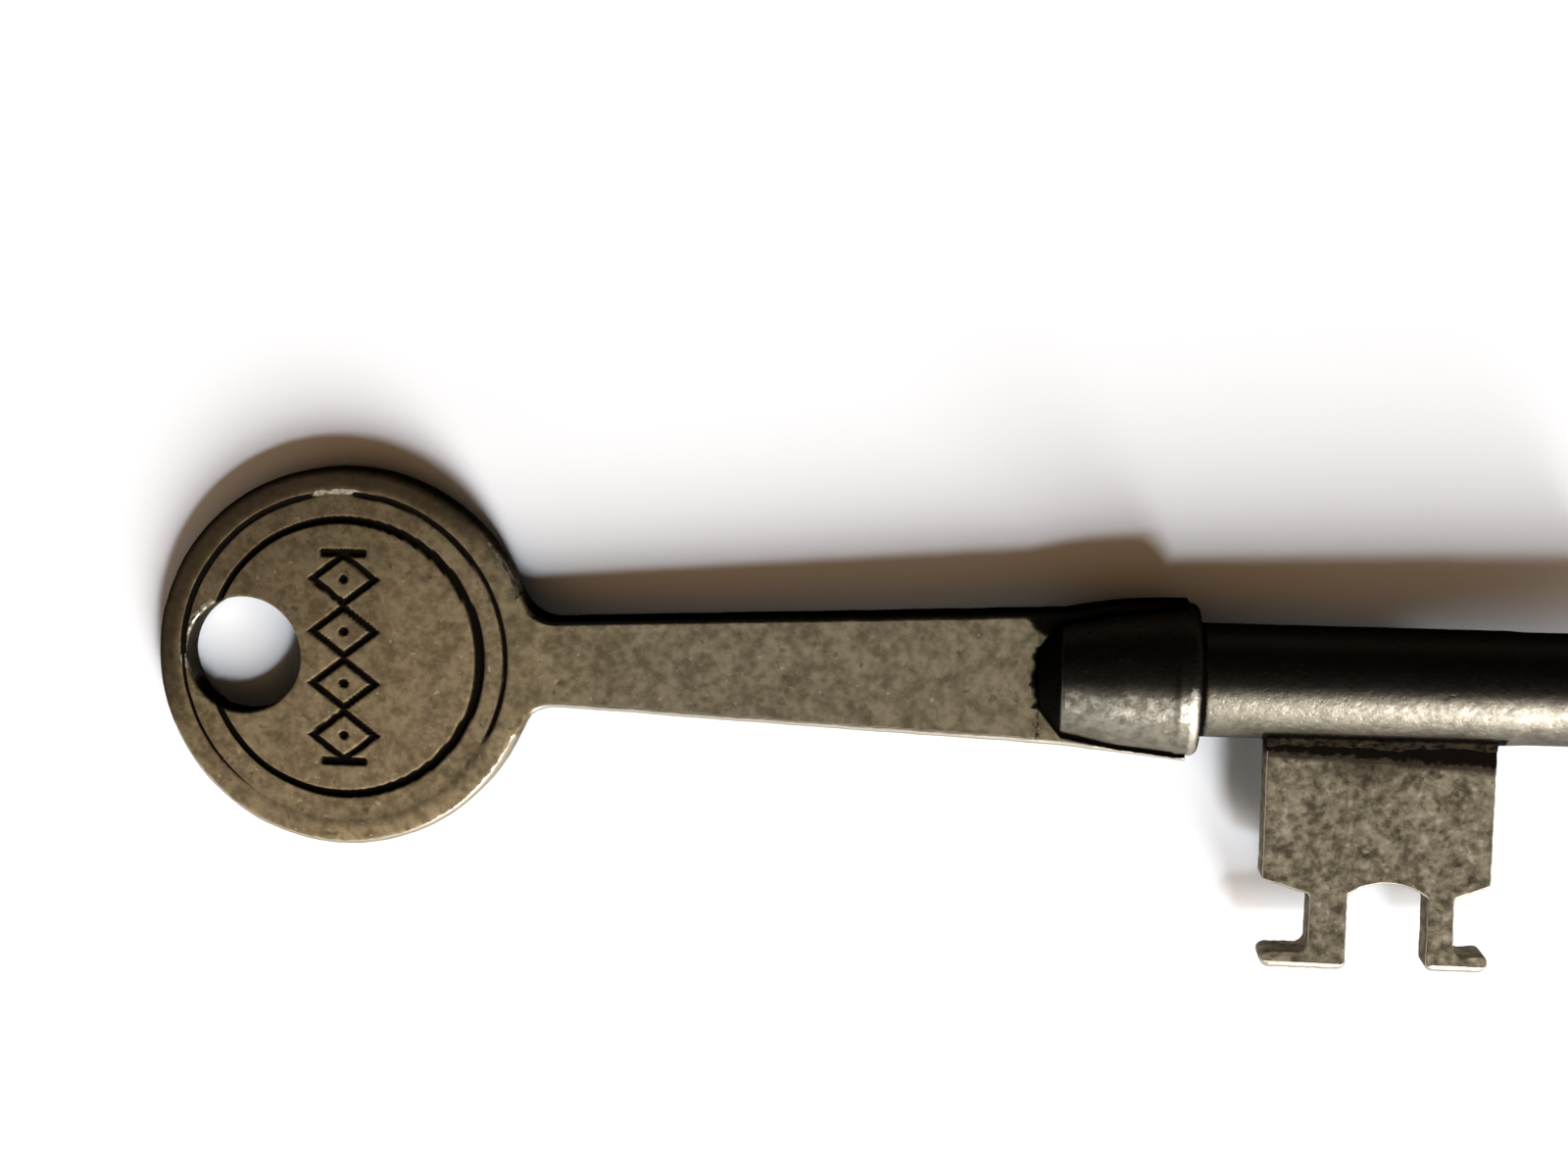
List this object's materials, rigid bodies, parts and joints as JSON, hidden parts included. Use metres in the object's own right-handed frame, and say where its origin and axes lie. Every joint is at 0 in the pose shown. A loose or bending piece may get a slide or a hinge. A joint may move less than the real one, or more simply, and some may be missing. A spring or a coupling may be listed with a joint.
{
  "type": "skeleton key",
  "caption": "Flat round bow with an off-centre ring hole and engraved lozenges, tapering blade, barrel collar, round stem and a warded bit with turned-out feet.",
  "frame": {"origin": "centre of the ring hole, half way through the thickness of the bow", "axes": "+X along the key from the bow to the nose, on the stem's axis; +Z out of one flat face, along the ring hole; the bit points along -Y"},
  "size_m": [0.0764, 0.0242, 0.0076],
  "materials": {
    "aged_flats": "dull olive-brown patina, cast and lightly worn",
    "worn_rounds": "rubbed greyish patina, pitted, brighter where handled",
    "braze_metal": "dark brown, rough"
  },
  "bodies": {
    "root": {"bow_blade": "aged_flats", "collar": "worn_rounds", "stem": "worn_rounds", "bit": "aged_flats", "bit_braze": "braze_metal"}
  },
  "joints": []
}
